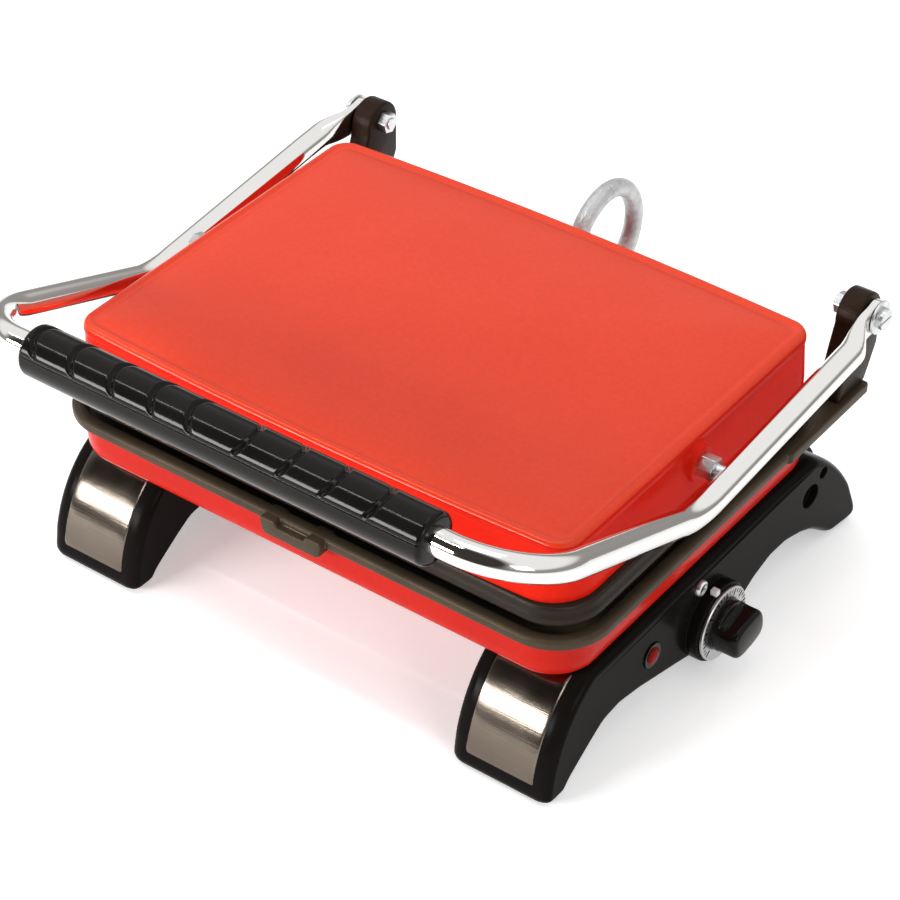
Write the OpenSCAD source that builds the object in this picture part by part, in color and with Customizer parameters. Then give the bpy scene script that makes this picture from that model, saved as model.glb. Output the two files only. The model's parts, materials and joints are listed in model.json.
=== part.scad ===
// Contact grill with an enamelled lid, cast plates and a bow handle.
// Millimetres. +X to the right, +Y to the back, +Z up. The origin is on the ground
// under the middle of the whole press.

/* [Plates and shells] */
// half width of the lid at its top edge
lid_a = 140; // [132:0.5:141]
// half depth of the lid at its top edge, at the corners
lid_b = 99; // [95:0.5:100]
// outward bow of the front and back of the lid
lid_bow = 4; // [2:0.5:5]
// height of the lid's top edge
lid_z = 132; // [130:0.5:134]
// rise of the middle of the lid above its edge
lid_crown = 3; // [1:0.5:5]
// half width of the lower plate's rim
rim_a = 153; // [152:0.5:154]
// half depth of the lower plate's rim
rim_b = 112; // [110:0.5:112]
// top of the lower plate's rim
rim_z = 85.4; // [84:0.2:86]
// gap between the two rims when closed
rim_gap = 5; // [5:0.1:6]
// underside of the base shell
base_z = 58.6; // [58:0.2:60]
// distance between cooking ribs
rib_pitch = 9.5; // [8:0.5:12]

/* [Handle] */
// outside diameter of the handle tube
tube_d = 13; // [12:0.5:14]
// distance of each handle arm from the middle
arm_x = 159.5; // [159:0.5:161]
// height of the rear pivots
pivot_z = 126; // [124:1:128]
// distance of the rear pivots behind the middle
pivot_y = 135; // [133:1:136]
// diameter of the handle grip
grip_d = 25; // [22:1:28]
// half length of the handle grip
grip_l = 111.5; // [90:0.5:114]
// distance of the grip's middle to the right of the plates' middle
grip_mid = 2.5; // [0:0.5:3]

/* [Legs and control] */
// outer face of the legs
leg_x = 149; // [147:0.5:150]
// width of the legs
leg_w = 54; // [50:1:56]
// diameter of the scale ring
ring_d = 38; // [34:1:40]

/* [Hidden] */
$fn = 64;
mid_x = -2.7;
kink_y = -28.5;
kink_z = 112.8;
bar_y = -156;
bar_z = 163;
tilt_z = 118;
ang_r = atan((pivot_z - kink_z) / (pivot_y - kink_y));
ang_f = atan((bar_z - kink_z) / (kink_y - bar_y));
arm_len = norm([bar_y - kink_y, bar_z - kink_z]);
rear_len = norm([pivot_y - kink_y, pivot_z - kink_z]);
kink_r = 60;
bend_r = 38;
kink_t = kink_r * tan((ang_r + ang_f) / 2);
bolt_r = 3;
run_r = 3.05;
post_in = 139.5;
post_out = 151.5;
lug_t = 4.5;
up_z = rim_z + rim_gap;
ctl_y = 9;
ctl_z = 22.6;
boss_out = 155;
hose_x = -3;
hose_r = 4.75;
hose_up = 112;
hose_low = 68;
hose_r1 = 8;
hose_r2 = 26.8;
hose_a = 28;
hose_b = 40;
loop_y = 109 + (hose_r1 + hose_r2) * cos(hose_a) + sin(hose_a);
loop_z = hose_up + hose_r1 - (hose_r1 + hose_r2) * sin(hose_a) + cos(hose_a);
hose_r3 = (loop_z - hose_low - hose_r2 * sin(hose_b) - cos(hose_b)) / (1 - sin(hose_b));
tail_y = loop_y + (hose_r2 - hose_r3) * cos(hose_b) - sin(hose_b);
leg_fix = [-75, 94];

// ---------- shared shapes ----------
// moves the plates aside so that the whole press, knob included, is centred on the origin
module at() {
    translate([mid_x, 0, 0]) children();
}

module rrect(a, b, r) {
    square([2 * a, 2 * (b - r)], center = true);
    square([2 * (a - r), 2 * b], center = true);
    for (i = [-1, 1]) for (j = [-1, 1]) translate([i * (a - r), j * (b - r)]) circle(r = r);
}

// a rounded outline whose front and back bow outward
module bowed(a, b, bow, r) {
    big = (a * a + bow * bow) / (2 * bow);
    intersection() {
        rrect(a, b + bow, r);
        translate([0, b + bow - big]) circle(r = big, $fn = 1080);
        translate([0, big - b - bow]) circle(r = big, $fn = 1080);
    }
}

module along_x(x0, x1, y, z, r) {
    translate([min(x0, x1), y, z]) rotate([0, 90, 0]) cylinder(h = abs(x1 - x0), r = r);
}

// a side outline given as [y, z], extruded from x0 to x1
module side(x0, x1) {
    translate([x0, 0, 0]) rotate([90, 0, 90]) linear_extrude(x1 - x0) children();
}

// a front outline given as [x, z], extruded from y0 to y1
module front(y0, y1) {
    translate([0, y1, 0]) rotate([90, 0, 0]) linear_extrude(y1 - y0) children();
}

module both() {
    children();
    mirror([1, 0, 0]) children();
}

module hexbar(x0, x1, y, z, af) {
    translate([x0, y, z]) rotate([0, 90, 0]) rotate([0, 0, 15])
        linear_extrude(x1 - x0) polygon([for (i = [0:5]) af / sqrt(3) * [cos(60 * i), sin(60 * i)]]);
}

function bez(p, t) = (1 - t) * (1 - t) * (1 - t) * p[0] + 3 * (1 - t) * (1 - t) * t * p[1]
    + 3 * (1 - t) * t * t * p[2] + t * t * t * p[3];
function dbez(p, t) = (1 - t) * (1 - t) * (p[1] - p[0]) + 2 * (1 - t) * t * (p[2] - p[1]) + t * t * (p[3] - p[2]);
function inset(p, t, d) = bez(p, t) + d * [dbez(p, t)[1], -dbez(p, t)[0]] / norm(dbez(p, t));
function trim_t(i) = (i == 2 ? 2.06 : i == 14 ? 13.94 : i) / 15;
function curve(p, n) = [for (i = [0:n]) bez(p, i / n)];

// a sheathed heating rod: two straight runs joined by a half turn, ends at the back
module rod(z, half, front_y, back_y) {
    for (i = [-1, 1]) translate([i * half, front_y + half, z]) rotate([-90, 0, 0])
        cylinder(h = back_y - front_y - half, r = 3.25);
    translate([0, front_y + half, z]) rotate([0, 0, 180]) rotate_extrude(angle = 180)
        translate([half, 0]) circle(r = 3.25);
}

// ---------- lid ----------
module lid_side_profile(a, top, drop) {
    big = a * a / (2 * lid_crown);
    intersection() {
        polygon([[-a - 4, lid_z - 34], [-a - 3.6, lid_z - 22], [-a - 0.8, lid_z - 3.2], [-a + 1.5, top],
            [-a + 1.5, top + 8], [a - 1.5, top + 8], [a - 1.5, top], [a + 0.8, lid_z - 3.2], [a + 3.6, lid_z - 22],
            [a + 4, lid_z - 34]]);
        translate([0, top + lid_crown - big - drop]) circle(r = big, $fn = 1440);
    }
}

module lid_solid(cut) {
    intersection() {
        translate([0, 0, up_z + 9.6]) linear_extrude(60) bowed(lid_a + 4 - cut, lid_b + 4 - cut, lid_bow - 0.4, 16);
        front(-130, 130) lid_side_profile(lid_a - cut, lid_z, cut);
        side(-170, 170) lid_side_profile(lid_b + lid_bow - cut, lid_z, cut);
    }
}

module lid_shell() {
    at() color([0.84, 0.16, 0.10]) difference() {
        union() {
            lid_solid(0);
            both() along_x(138, 144.8, 0, tilt_z, 9);
        }
        translate([0, 0, -0.01]) lid_solid(2.2);
        both() along_x(136, 151, 0, tilt_z, 4.1);
        translate([hose_x, 90, hose_up]) rotate([-90, 0, 0]) cylinder(h = 30, r = 6.1);
    }
    at() color([0.84, 0.16, 0.10]) for (i = [-1, 1]) for (j = [-1, 1]) translate([i * 118, j * 80, 0]) difference() {
        translate([0, 0, up_z + 22.9]) cylinder(h = lid_z - up_z - 23.9, r = 6);
        translate([0, 0, up_z + 20]) cylinder(h = 12, r = 2);
    }
}

module plate_pivot_studs() {
    at() color([0.75, 0.76, 0.77]) both() {
        along_x(132, 144.8, 0, tilt_z, 4);
        hexbar(144.8, arm_x - tube_d / 2 - 0.4, 0, tilt_z, 10);
        along_x(150, arm_x, 0, tilt_z, bolt_r);
        hexbar(133, 136.5, 0, tilt_z, 13);
    }
}

module upper_grill_plate() {
    z0 = up_z;
    at() color([0.20, 0.18, 0.16]) difference() {
        union() {
            translate([0, 0, z0]) linear_extrude(4.2) rrect(rim_a - 4.4, rim_b - 3, 27);
            translate([0, 0, z0 + 4]) linear_extrude(3) rrect(rim_a - 5.4, rim_b - 4, 26);
            translate([0, 0, z0 + 6.8]) linear_extrude(2.6) rrect(rim_a - 6.6, rim_b - 5.2, 25);
            both() translate([133, 0, z0 + 9]) cylinder(h = 7, r = 6);
        }
        translate([0, 0, z0 - 1]) linear_extrude(3.6) rrect(rim_a - 10.4, rim_b - 9, 22);
        for (i = [-1, 1]) for (j = [-1, 1]) translate([i * 118, j * 80, z0 + 6]) cylinder(h = 6, r = 2);
    }
    at() color([0.20, 0.18, 0.16]) for (i = [-14:14]) translate([i * rib_pitch - 1.5, -96, z0 + 0.6]) cube([3, 192, 2.2]);
}

module upper_heating_element() {
    at() color([0.35, 0.33, 0.32]) {
        rod(up_z + 12.8, 92, -84, 86);
        rod(up_z + 12.8, 48, -48, 86);
    }
}

module upper_element_clamps() {
    at() color([0.6, 0.6, 0.6]) for (i = [-1, 1]) for (y = [-10, 55])
        translate([i * 70 - 34, y, up_z + 16.3]) cube([68, 12, 1.5]);
}

module upper_reflector() {
    at() color([0.75, 0.75, 0.76]) difference() {
        translate([0, 0, up_z + 19]) linear_extrude(0.8) rrect(126, 88, 16);
        for (i = [-1, 1]) for (j = [-1, 1]) translate([i * 118, j * 80, 0]) cylinder(h = 200, r = 2.4);
    }
}

module lid_screws() {
    at() color([0.7, 0.7, 0.7]) for (i = [-1, 1]) for (j = [-1, 1]) translate([i * 118, j * 80, up_z + 6.2]) {
        cylinder(h = 24, r = 1.9);
        translate([0, 0, 13.7]) cylinder(h = 2.6, r = 4);
    }
}

module hose_upper_gland() {
    at() color([0.62, 0.62, 0.62]) translate([hose_x, 0, hose_up]) rotate([-90, 0, 0]) difference() {
        union() {
            translate([0, 0, 96]) cylinder(h = 13.6, r = 6);
            translate([0, 0, 96]) cylinder(h = 3, r = 9);
        }
        translate([0, 0, 95]) cylinder(h = 20, r = hose_r + 0.1);
    }
}

// ---------- hose ----------
// part of a ring in the plane across the object, centred at [y, z], from angle a0 to a1
module hose_arc(y, z, r, a0, a1) {
    translate([hose_x, y, z]) rotate([90, 0, 90]) rotate([0, 0, a0]) rotate_extrude(angle = a1 - a0)
        translate([r, 0]) circle(r = hose_r);
}

// a straight length that ends inside thin collars, so that it joins the bends cleanly
module hose_run(y, z, ang, len) {
    translate([hose_x, y, z]) rotate([ang, 0, 0]) rotate([-90, 0, 0]) {
        translate([0, 0, 0.1]) cylinder(h = len - 0.2, r = hose_r);
        for (h = [0, len]) translate([0, 0, h - 0.3]) cylinder(h = 0.6, r = hose_r + 0.03);
    }
}

module hose_upper() {
    at() color([0.62, 0.63, 0.62]) {
        hose_run(97, hose_up, 0, 12);
        hose_arc(109, hose_up + hose_r1, hose_r1, -90, -hose_a);
        hose_run(109 + hose_r1 * cos(hose_a), hose_up + hose_r1 - hose_r1 * sin(hose_a), 90 - hose_a, 1);
        hose_arc(loop_y, loop_z, hose_r2, 90, 180 - hose_a);
    }
}

module hose_lower() {
    at() color([0.62, 0.63, 0.62]) {
        hose_arc(loop_y, loop_z, hose_r2, -hose_b, 90);
        hose_run(loop_y + hose_r2 * cos(hose_b), loop_z - hose_r2 * sin(hose_b), -90 - hose_b, 1);
        hose_arc(tail_y, hose_low + hose_r3, hose_r3, -90, -hose_b);
        hose_run(97, hose_low, 0, tail_y - 97);
    }
}

module hose_lower_gland() {
    at() color([0.62, 0.62, 0.62]) translate([hose_x, 0, hose_low]) rotate([-90, 0, 0]) difference() {
        union() {
            translate([0, 0, 92]) cylinder(h = 20, r = 6);
            translate([0, 0, 92]) cylinder(h = 3, r = 7.1);
        }
        translate([0, 0, 91]) cylinder(h = 24, r = hose_r + 0.1);
    }
}

// ---------- base ----------
module pan_profile(a, z) {
    polygon([[-a, rim_z - 5.6], [-a + 1.6, z + 9], [-a + 3, z + 3.4], [-a + 6.5, z], [a - 6.5, z], [a - 3, z + 3.4],
        [a - 1.6, z + 9], [a, rim_z - 5.6]]);
}

module pan_solid(cut) {
    intersection() {
        translate([0, 0, base_z]) linear_extrude(40) rrect(147.5 - cut, 107.5 - cut, 24);
        front(-130, 130) pan_profile(147.5 - cut, base_z + cut);
        side(-170, 170) pan_profile(107.5 - cut, base_z + cut);
    }
}

module base_shell() {
    at() color([0.80, 0.17, 0.11]) difference() {
        pan_solid(0);
        translate([0, 0, 0.01]) pan_solid(2);
        translate([hose_x, 95, hose_low]) rotate([-90, 0, 0]) cylinder(h = 30, r = 6.1);
        for (i = [-1, 1]) for (y = leg_fix) translate([i * 122, y, 50]) cylinder(h = 20, r = 2.1);
        translate([122, ctl_y + 9, 50]) cylinder(h = 20, r = 5);
    }
}

module spout_outline(d) {
    polygon([[-18 + d, -rim_b + 4], [-16 + d, -rim_b - 7 + d], [16 - d, -rim_b - 7 + d], [18 - d, -rim_b + 4]]);
}

module lower_grill_plate() {
    at() color([0.22, 0.19, 0.17]) difference() {
        union() {
            translate([0, 0, rim_z - 5.6]) linear_extrude(5.6) rrect(rim_a, rim_b, 29);
            translate([0, 0, rim_z - 8.4]) linear_extrude(3) rrect(144.6, 104.6, 22);
            translate([0, 0, rim_z - 9]) linear_extrude(9) spout_outline(0);
            both() translate([134, 98, rim_z - 5.6]) cube([19, 39, 5.6]);
            both() translate([150, 62, rim_z - 5.6]) cube([4.5, 75, 5.6]);
        }
        difference() {
            translate([0, 0, rim_z - 3.4]) linear_extrude(10) rrect(rim_a - 6.5, rim_b - 6.5, 23);
            for (i = [-14:14]) translate([i * rib_pitch - 1.5, -92, rim_z - 4]) cube([3, 188, 3.3]);
        }
        translate([-8, -rim_b - 20, rim_z - 3.4]) cube([16, 30, 10]);
        translate([-8, -rim_b - 4, rim_z - 20]) cube([16, 1.6, 30]);
        for (y = [119, 131]) both() translate([145.5, y, rim_z - 10]) cylinder(h = 20, r = 2.1);
    }
}

module lower_heating_element() {
    at() color([0.35, 0.33, 0.32]) {
        rod(rim_z - 11.9, 92, -84, 86);
        rod(rim_z - 11.9, 48, -48, 86);
    }
}

module lower_element_clamps() {
    at() color([0.6, 0.6, 0.6]) for (i = [-1, 1]) for (y = [-10, 55])
        translate([i * 70 - 34, y, rim_z - 17]) cube([68, 12, 1.5]);
}

module lower_reflector() {
    at() color([0.75, 0.75, 0.76]) difference() {
        translate([0, 0, rim_z - 20]) linear_extrude(0.8) rrect(110, 88, 16);
        translate([70, -20, 0]) cube([20, 50, 100]);
    }
}

module hinge_post() {
    difference() {
        union() {
            side(post_in, post_out) polygon([[112, rim_z], [113.5, 96], [119, 112], [pivot_y - 12, pivot_z - 2],
                [pivot_y + 12, pivot_z - 2], [146.5, 103], [137, rim_z]]);
            along_x(post_in, post_out, pivot_y, pivot_z - 2, 12);
        }
        along_x(post_in - 1, post_out + 1, pivot_y, pivot_z, run_r);
        for (y = [119, 131]) translate([145.5, y, rim_z - 1]) cylinder(h = 12, r = 2.05);
    }
}

module hinge_post_right() {
    at() color([0.27, 0.21, 0.17]) hinge_post();
}

module hinge_post_left() {
    at() color([0.27, 0.21, 0.17]) mirror([1, 0, 0]) hinge_post();
}

module post_screws() {
    at() color([0.5, 0.5, 0.5]) both() for (y = [119, 131]) translate([145.5, y, rim_z - 8.6]) {
        cylinder(h = 17, r = 2);
        cylinder(h = 2.8, r = 3.6);
    }
}

module pivot_bolts() {
    at() color([0.75, 0.76, 0.77]) both() {
        along_x(133.5, 159, pivot_y, pivot_z, bolt_r);
        difference() {
            along_x(158, 161, pivot_y, pivot_z, 5.4);
            translate([160, pivot_y - 8, pivot_z - 0.7]) cube([3, 16, 1.4]);
        }
    }
}

module pivot_washers() {
    at() color([0.7, 0.7, 0.71]) both() difference() {
        along_x(156.8, 158, pivot_y, pivot_z, 8.6);
        along_x(150, 160, pivot_y, pivot_z, run_r);
    }
}

module pivot_nuts() {
    at() color([0.72, 0.72, 0.73]) both() difference() {
        hexbar(134.5, post_in, pivot_y, pivot_z, 10);
        along_x(130, 150, pivot_y, pivot_z, run_r);
    }
}

// ---------- legs ----------
nose = [[-121, 2.2], [-121, 30], [-108, 50], [-88, base_z]];
tail = [[100, base_z], [118, 50], [136, 27], [143, 2.2]];
under = [[117, 2.2], [110, 7], [101, 13], [91, 17], [77, 20.5], [63, 20.5], [50, 17], [38, 11], [28, 6.4], [12, 4.2],
    [-4, 6], [-20, 10.5], [-35, 14.5], [-50, 18.5], [-66, 21.5], [-78, 20.5], [-88, 15], [-97, 9.5], [-104, 5],
    [-108, 2.2]];

module leg() {
    difference() {
        intersection() {
            side(leg_x - leg_w, leg_x) polygon(concat(curve(nose, 14), curve(tail, 10), under));
            translate([leg_x - leg_w / 2, 11, -1]) linear_extrude(70) rrect(leg_w / 2, 132, 7);
        }
        translate([leg_x - leg_w + 4, -66, 25.5]) cube([leg_w - 8, 151, 40]);
        for (y = leg_fix) translate([122, y, 46]) cylinder(h = 20, r = 2.05);
        translate([leg_x - leg_w + 4, -8, 8.4]) cube([leg_w - 8, 36, 40]);
        side(103, 141) polygon(concat([for (i = [2:14]) inset(nose, i / 15, 1.3)],
            [for (i = [14:-1:2]) inset(nose, i / 15, -4)]));
    }
}

module leg_trim() {
    side(103.3, 140.7) polygon(concat([for (i = [2:14]) inset(nose, trim_t(i), 1.2)],
        [for (i = [14:-1:2]) inset(nose, trim_t(i), 0.1)]));
}

module leg_right() {
    at() color([0.10, 0.09, 0.09]) difference() {
        union() {
            leg();
            along_x(leg_x - 1, boss_out, ctl_y, ctl_z, 20.4);
        }
        along_x(leg_x - 6, boss_out + 1, ctl_y, ctl_z, 5);
        along_x(leg_x - 6, boss_out - 3, ctl_y, ctl_z, 14);
        along_x(leg_x - 6, leg_x + 1, -41, 35, 5.1);
        along_x(leg_x - 6, leg_x + 1, -2.4, 48.8, 2.6);
        along_x(leg_x - 2.5, leg_x + 1, 96, 39, 6.5);
        along_x(leg_x - 2.5, leg_x + 1, 106, 47.5, 3.2);
        translate([leg_x - 20, 80, 38]) rotate([-90, 0, 0]) cylinder(h = 70, r = 5.6);
    }
}

module leg_left() {
    at() color([0.10, 0.09, 0.09]) mirror([1, 0, 0]) leg();
}

module leg_right_trim() {
    at() color([0.72, 0.72, 0.72]) leg_trim();
}

module leg_left_trim() {
    at() color([0.72, 0.72, 0.72]) mirror([1, 0, 0]) leg_trim();
}

module rubber_feet() {
    at() color([0.06, 0.06, 0.06]) both() {
        translate([leg_x - leg_w + 9, -119, 0]) cube([leg_w - 18, 10, 2.2]);
        translate([leg_x - leg_w + 9, 119, 0]) cube([leg_w - 18, 22, 2.2]);
    }
}

module leg_screws() {
    at() color([0.6, 0.6, 0.6]) both() for (y = leg_fix) translate([122, y, 0]) {
        translate([0, 0, 47]) cylinder(h = 15, r = 2);
        translate([0, 0, base_z + 2.03]) cylinder(h = 3.2, r = 4.4);
    }
}

module leg_side_screw() {
    at() color([0.78, 0.78, 0.78]) {
        along_x(leg_x - 9, leg_x + 0.1, -2.4, 48.8, 2.5);
        along_x(leg_x + 0.02, leg_x + 2.6, -2.4, 48.8, 4.1);
    }
}

module cable_gland() {
    at() color([0.08, 0.08, 0.08]) translate([leg_x - 20, 0, 38]) rotate([-90, 0, 0]) difference() {
        union() {
            translate([0, 0, 82.3]) cylinder(h = 42.7, r = 5.5);
            translate([0, 0, 82.3]) cylinder(h = 2.6, r = 8);
        }
        translate([0, 0, 80]) cylinder(h = 60, r = 3.6);
    }
}

// ---------- control ----------
module thermostat_body() {
    at() color([0.80, 0.78, 0.70]) difference() {
        union() {
            along_x(112, 132, ctl_y, ctl_z, 12);
            along_x(132, 140, ctl_y, ctl_z, 5.5);
        }
        along_x(118, 141, ctl_y, ctl_z, run_r);
    }
}

module thermostat_bracket() {
    at() color([0.68, 0.68, 0.68]) difference() {
        translate([132, -6, 9]) cube([1.6, 30, 44]);
        along_x(130, 136, ctl_y, ctl_z, 5.7);
    }
}

module thermostat_capillary() {
    at() color([0.72, 0.45, 0.28]) translate([122, ctl_y + 9, 0]) {
        translate([0, 0, ctl_z + 9.6]) cylinder(h = 67.5 - ctl_z - 9.6, r = 1.1);
        translate([-102, 0, 67.5]) rotate([0, 90, 0]) cylinder(h = 102, r = 1.1);
        translate([0, 0, 67.5]) sphere(r = 1.1);
    }
}

module thermostat_shaft() {
    at() color([0.7, 0.7, 0.7]) along_x(119, 162, ctl_y, ctl_z, bolt_r);
}

module dial_ring() {
    at() color([0.74, 0.74, 0.74]) difference() {
        along_x(boss_out + 0.4, boss_out + 2.2, ctl_y, ctl_z, ring_d / 2);
        along_x(boss_out, boss_out + 4, ctl_y, ctl_z, 13);
    }
}

module thermostat_knob() {
    at() color([0.07, 0.07, 0.07]) difference() {
        union() {
            along_x(boss_out + 0.5, boss_out + 6, ctl_y, ctl_z, 12.95);
            intersection() {
                translate([boss_out + 5, ctl_y, ctl_z]) rotate([8, 0, 0]) translate([0, -14, -5]) cube([11.5, 28, 10]);
                along_x(boss_out + 5, boss_out + 17, ctl_y, ctl_z, 12.8);
            }
        }
        along_x(boss_out, boss_out + 7.1, ctl_y, ctl_z, bolt_r);
    }
}

module index_mark() {
    at() color([0.92, 0.92, 0.9]) translate([leg_x, 1.6, 43.15]) cube([boss_out - leg_x + 1, 3.2, 3]);
}

module indicator_lens() {
    at() color([0.85, 0.10, 0.06]) {
        along_x(leg_x + 0.8, leg_x + 2, -41, 35, 5);
        along_x(leg_x - 8, leg_x + 0.9, -41, 35, 3.9);
    }
}

module indicator_holder() {
    at() color([0.12, 0.05, 0.05]) difference() {
        union() {
            along_x(leg_x - 12, leg_x + 0.1, -41, 35, 5);
            along_x(leg_x, leg_x + 0.8, -41, 35, 6.4);
        }
        along_x(leg_x - 9, leg_x + 3, -41, 35, 4);
    }
}

module terminal_block() {
    at() color([0.85, 0.83, 0.76]) difference() {
        translate([106, 48, 30]) cube([18, 34, 14]);
        for (y = [54, 65, 76]) translate([115, y, 36]) cylinder(h = 20, r = 2.4);
    }
}

module wiring() {
    at() color([0.75, 0.7, 0.6]) {
        along_x(107, 112, ctl_y, 31, 1.3);
        translate([107, ctl_y, 31]) sphere(r = 1.3);
        translate([107, ctl_y, 31]) rotate([-90, 0, 0]) cylinder(h = 48 - ctl_y, r = 1.3);
        along_x(109.6, 137, -41, 36, 1.3);
        translate([109.6, -41, 36]) sphere(r = 1.3);
        translate([109.6, -41, 36]) rotate([-90, 0, 0]) cylinder(h = 89, r = 1.3);
    }
}

// ---------- handle ----------
// a run along +Y whose ends stop just inside thin collars that join it to its neighbours
module run(r, y0, y1) {
    translate([0, y0 + 0.1, 0]) rotate([-90, 0, 0]) cylinder(h = y1 - y0 - 0.2, r = r);
    for (y = [y0, y1]) translate([0, y - 0.3, 0]) rotate([-90, 0, 0]) cylinder(h = 0.6, r = r + 0.03);
}

// one arm: a straight run from the pivot, a slight bend at the plate stud, a run up to the front bend
module arm(r) {
    mid = (ang_r + 180 - ang_f) / 2;
    reach = kink_r / cos((ang_r + ang_f) / 2);
    translate([arm_x, kink_y, kink_z]) rotate([ang_r, 0, 0]) run(r, kink_t, rear_len - 27);
    translate([arm_x, kink_y + reach * cos(mid), kink_z + reach * sin(mid)]) rotate([90, 0, 90])
        rotate([0, 0, -90 - ang_f]) rotate_extrude(angle = ang_r + ang_f) translate([kink_r, 0]) circle(r = r);
    translate([arm_x, kink_y, kink_z]) rotate([-ang_f, 0, 0]) {
        run(r, bend_r - arm_len, -kink_t);
        translate([-bend_r, bend_r - arm_len, 0]) rotate([0, 0, -90]) rotate_extrude(angle = 90)
            translate([bend_r, 0]) circle(r = r);
    }
}

module bar(r) {
    translate([0, bar_y, bar_z]) rotate([-ang_f, 0, 0]) rotate([0, 0, -90]) run(r, bend_r - arm_x, arm_x - bend_r);
}

// the flattened end of an arm with its eye around the rear pivot
module lug() {
    lug_in = 154.3 - lug_t / 2 - arm_x;
    y0 = rear_len - 29;
    y1 = rear_len - 12;
    translate([arm_x, kink_y, kink_z]) rotate([ang_r, 0, 0]) intersection() {
        translate([0, 0, -9]) linear_extrude(18) polygon([[5.2, y0], [lug_in + lug_t, y1], [lug_in + lug_t, rear_len],
            [lug_in, rear_len], [lug_in, y1], [-5.2, y0]]);
        side(-20, 20) polygon([[y0, -4.4], [y1 - 4, -7.2], [rear_len, -7.2], [rear_len, 7.2], [y1 - 4, 7.2], [y0, 4.4]]);
    }
    along_x(154.3 - lug_t / 2 - 0.05, 154.3 + lug_t / 2 + 0.05, pivot_y, pivot_z, 8);
}

module handle_tube() {
    at() color([0.80, 0.81, 0.82]) difference() {
        union() {
            both() arm(tube_d / 2);
            bar(tube_d / 2);
            both() lug();
        }
        both() along_x(150, 160, pivot_y, pivot_z, run_r);
        both() along_x(148, arm_x + 0.3, 0, tilt_z, run_r);
    }
}

module grip_outer() {
    along_x(grip_mid - grip_l, grip_mid + grip_l, 0, 0, grip_d / 2);
}

module grip_half(up) {
    translate([0, bar_y, bar_z]) rotate([-ang_f, 0, 0]) difference() {
        intersection() {
            grip_outer();
            translate([-200, -50, up > 0 ? 0.05 : -50]) cube([400, 100, 49.95]);
        }
        along_x(-200, 200, 0, 0, tube_d / 2 + 0.05);
        if (up > 0) for (i = [-4:4]) translate([i * 24.5 - 3, 0, 0]) rotate([0, 90, 0]) rotate([0, 0, 130])
            rotate_extrude(angle = 100) translate([grip_d / 2 + 0.6, 0]) circle(r = 1.9);
        for (i = [-1, 1]) translate([i * 96, 0, -30]) cylinder(h = 40, r = 1.6);
        for (i = [-1, 1]) translate([i * 96, 0, -30]) cylinder(h = 20.5, r = 3);
    }
}

module grip_upper() {
    at() color([0.06, 0.06, 0.06]) grip_half(1);
}

module grip_lower() {
    at() color([0.06, 0.06, 0.06]) grip_half(-1);
}

module grip_screws() {
    at() color([0.6, 0.6, 0.6]) translate([0, bar_y, bar_z]) rotate([-ang_f, 0, 0]) for (i = [-1, 1])
        translate([i * 96, 0, 0]) {
            translate([0, 0, -9.5]) cylinder(h = 2.6, r = 1.5);
            translate([0, 0, -11.6]) cylinder(h = 2, r = 2.8);
        }
}

base_shell();
lower_grill_plate();
lower_heating_element();
lower_element_clamps();
lower_reflector();
hinge_post_left();
hinge_post_right();
post_screws();
pivot_bolts();
pivot_washers();
pivot_nuts();
leg_left();
leg_right();
leg_left_trim();
leg_right_trim();
rubber_feet();
leg_screws();
leg_side_screw();
cable_gland();
thermostat_body();
thermostat_bracket();
thermostat_capillary();
index_mark();
indicator_lens();
indicator_holder();
terminal_block();
wiring();
hose_lower_gland();
hose_lower();
handle_tube();
grip_upper();
grip_lower();
grip_screws();
lid_shell();
upper_grill_plate();
upper_heating_element();
upper_element_clamps();
upper_reflector();
plate_pivot_studs();
lid_screws();
hose_upper_gland();
hose_upper();
thermostat_shaft();
dial_ring();
thermostat_knob();
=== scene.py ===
"""Looks of a contact grill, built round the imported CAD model. Z is up.

Shapes are drawn in millimetres of the CAD source's own frame. plain_mesh() turns them into metres and
moves them by MID_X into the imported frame.
"""
import json
import math

import bmesh
import bpy
from mathutils import Matrix, Vector


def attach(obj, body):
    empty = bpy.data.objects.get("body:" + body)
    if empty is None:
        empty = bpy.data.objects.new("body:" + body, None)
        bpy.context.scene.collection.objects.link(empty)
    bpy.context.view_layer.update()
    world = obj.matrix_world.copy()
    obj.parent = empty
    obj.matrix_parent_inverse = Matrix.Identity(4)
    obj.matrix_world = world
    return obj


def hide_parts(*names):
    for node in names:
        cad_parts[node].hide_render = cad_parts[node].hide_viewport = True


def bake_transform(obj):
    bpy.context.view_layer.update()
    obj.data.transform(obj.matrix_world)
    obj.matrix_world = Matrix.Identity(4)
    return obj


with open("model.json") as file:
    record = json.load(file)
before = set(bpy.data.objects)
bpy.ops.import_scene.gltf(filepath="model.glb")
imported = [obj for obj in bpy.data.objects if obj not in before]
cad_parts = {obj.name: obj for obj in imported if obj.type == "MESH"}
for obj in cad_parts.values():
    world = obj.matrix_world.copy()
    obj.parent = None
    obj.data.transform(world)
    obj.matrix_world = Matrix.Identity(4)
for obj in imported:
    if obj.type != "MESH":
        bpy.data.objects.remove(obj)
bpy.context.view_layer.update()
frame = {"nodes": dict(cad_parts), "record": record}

MM = 0.001
MID_X = -2.7

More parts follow.
